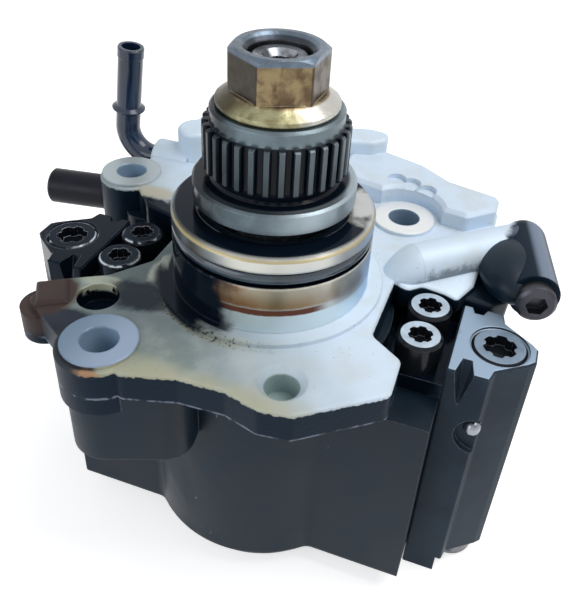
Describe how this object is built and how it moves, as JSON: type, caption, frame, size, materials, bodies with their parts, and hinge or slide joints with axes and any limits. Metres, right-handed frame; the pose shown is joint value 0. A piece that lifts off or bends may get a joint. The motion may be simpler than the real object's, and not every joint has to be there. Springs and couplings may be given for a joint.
{
  "type": "diesel injection pump",
  "caption": "Common rail diesel injection pump with toothed drive hub, mounting spigot, opposed hydraulic heads and fuel pipes.",
  "frame": {"origin": "centre of the mounting spigot on the plane of the mounting bosses", "axes": "+Z along the drive shaft out of the mounting face, +X along the plungers towards the head beside the cast gallery"},
  "size_m": [0.1696, 0.1566, 0.1425],
  "materials": {
    "cast_aluminium": "fine cast with machined faces, oil stained",
    "black_cast_iron": "satin black paint over casting",
    "black_steel": "oily black forged block with machined top",
    "black_rubber": "smooth oily rubber",
    "bearing_bronze": "machined bush",
    "ground_steel": "ground",
    "hub_steel": "dark oxidised steel with worn tooth tips",
    "nut_steel": "olive and gold passivated steel, oil stained",
    "painted_pipe": "gloss blue-black paint",
    "black_plastic": "matt moulded plastic",
    "plug_steel": "turned steel",
    "screw_steel": "black oxidised steel",
    "spring_steel": "drawn wire",
    "zinc_steel": "zinc plated"
  },
  "bodies": {
    "housing": {"bottom_plug_left": "plug_steel", "bottom_plug_right": "plug_steel", "cam_housing": "black_cast_iron", "cover_screws": "screw_steel", "flange_o_ring": "black_rubber", "front_bush": "bearing_bronze", "front_flange": "cast_aluminium", "gallery_plug": "plug_steel", "head_left": "black_steel", "head_right": "black_steel", "head_screws_left": "screw_steel", "head_screws_right": "screw_steel", "housing_screws": "screw_steel", "inlet_pipe": "black_plastic", "inlet_seat_left": "ground_steel", "inlet_seat_right": "ground_steel", "inlet_spring_left": "spring_steel", "inlet_spring_right": "spring_steel", "metering_connector": "black_plastic", "metering_screws": "screw_steel", "metering_spring": "spring_steel", "metering_valve_body": "zinc_steel", "outlet_seat_left": "ground_steel", "outlet_seat_right": "ground_steel", "outlet_spring_left": "spring_steel", "outlet_spring_right": "spring_steel", "outlet_union_left": "zinc_steel", "outlet_union_right": "zinc_steel", "plunger_spring_left": "spring_steel", "plunger_spring_right": "spring_steel", "rear_bush": "bearing_bronze", "rear_cover": "black_cast_iron", "return_pipe": "painted_pipe", "sealing_ball_left": "ground_steel", "sealing_ball_right": "ground_steel", "shaft_seal": "black_rubber", "top_plug_left": "plug_steel", "top_plug_right": "plug_steel"},
    "shaft": {"drive_shaft": "ground_steel", "drive_hub": "hub_steel", "hub_nut": "nut_steel"},
    "rider": {"rider_ring": "ground_steel", "rider_bush": "bearing_bronze"},
    "plunger_right_unit": {"tappet_right": "ground_steel", "plunger_right": "ground_steel"},
    "plunger_left_unit": {"tappet_left": "ground_steel", "plunger_left": "ground_steel"},
    "inlet_valve_right_unit": {"inlet_valve_right": "ground_steel"},
    "inlet_valve_left_unit": {"inlet_valve_left": "ground_steel"},
    "outlet_ball_right_unit": {"outlet_ball_right": "ground_steel"},
    "outlet_ball_left_unit": {"outlet_ball_left": "ground_steel"},
    "metering_spool_unit": {"metering_spool": "ground_steel"}
  },
  "joints": [
    {"name": "shaft_spin", "type": "hinge", "parent": "housing", "child": "shaft", "pos_m": [0, 0, 0], "axis": [0, 0, 1], "continuous": true},
    {"name": "rider_orbit", "type": "hinge", "parent": "shaft", "child": "rider", "pos_m": [0.003, 0, 0], "axis": [0, 0, 1], "continuous": true},
    {"name": "plunger_right_stroke", "type": "slide", "parent": "housing", "child": "plunger_right_unit", "axis": [1, 0, 0], "range_m": [0, 0.006], "stiffness_N_per_m": 1500, "springref_m": -0.004, "deforming": ["plunger_spring_right"]},
    {"name": "plunger_left_stroke", "type": "slide", "parent": "housing", "child": "plunger_left_unit", "axis": [-1, 0, 0], "range_m": [0, 0.006], "stiffness_N_per_m": 1500, "springref_m": -0.004, "deforming": ["plunger_spring_left"]},
    {"name": "inlet_valve_right_lift", "type": "slide", "parent": "housing", "child": "inlet_valve_right_unit", "axis": [0, 0, -1], "range_m": [0, 0.0008], "stiffness_N_per_m": 200, "springref_m": -0.001, "deforming": ["inlet_spring_right"]},
    {"name": "outlet_ball_right_lift", "type": "slide", "parent": "housing", "child": "outlet_ball_right_unit", "axis": [0, 0, -1], "range_m": [0, 0.0008], "stiffness_N_per_m": 200, "springref_m": -0.001, "deforming": ["outlet_spring_right"]},
    {"name": "inlet_valve_left_lift", "type": "slide", "parent": "housing", "child": "inlet_valve_left_unit", "axis": [0, 0, -1], "range_m": [0, 0.0008], "stiffness_N_per_m": 200, "springref_m": -0.001, "deforming": ["inlet_spring_left"]},
    {"name": "outlet_ball_left_lift", "type": "slide", "parent": "housing", "child": "outlet_ball_left_unit", "axis": [0, 0, -1], "range_m": [0, 0.0008], "stiffness_N_per_m": 200, "springref_m": -0.001, "deforming": ["outlet_spring_left"]},
    {"name": "metering_spool_slide", "type": "slide", "parent": "housing", "child": "metering_spool_unit", "axis": [0, 1, 0], "range_m": [0, 0.003], "stiffness_N_per_m": 400, "springref_m": -0.001, "deforming": ["metering_spring"]}
  ],
  "couplings": [
    {"joint": "rider_orbit", "follows": "shaft_spin", "ratio": -1}
  ]
}
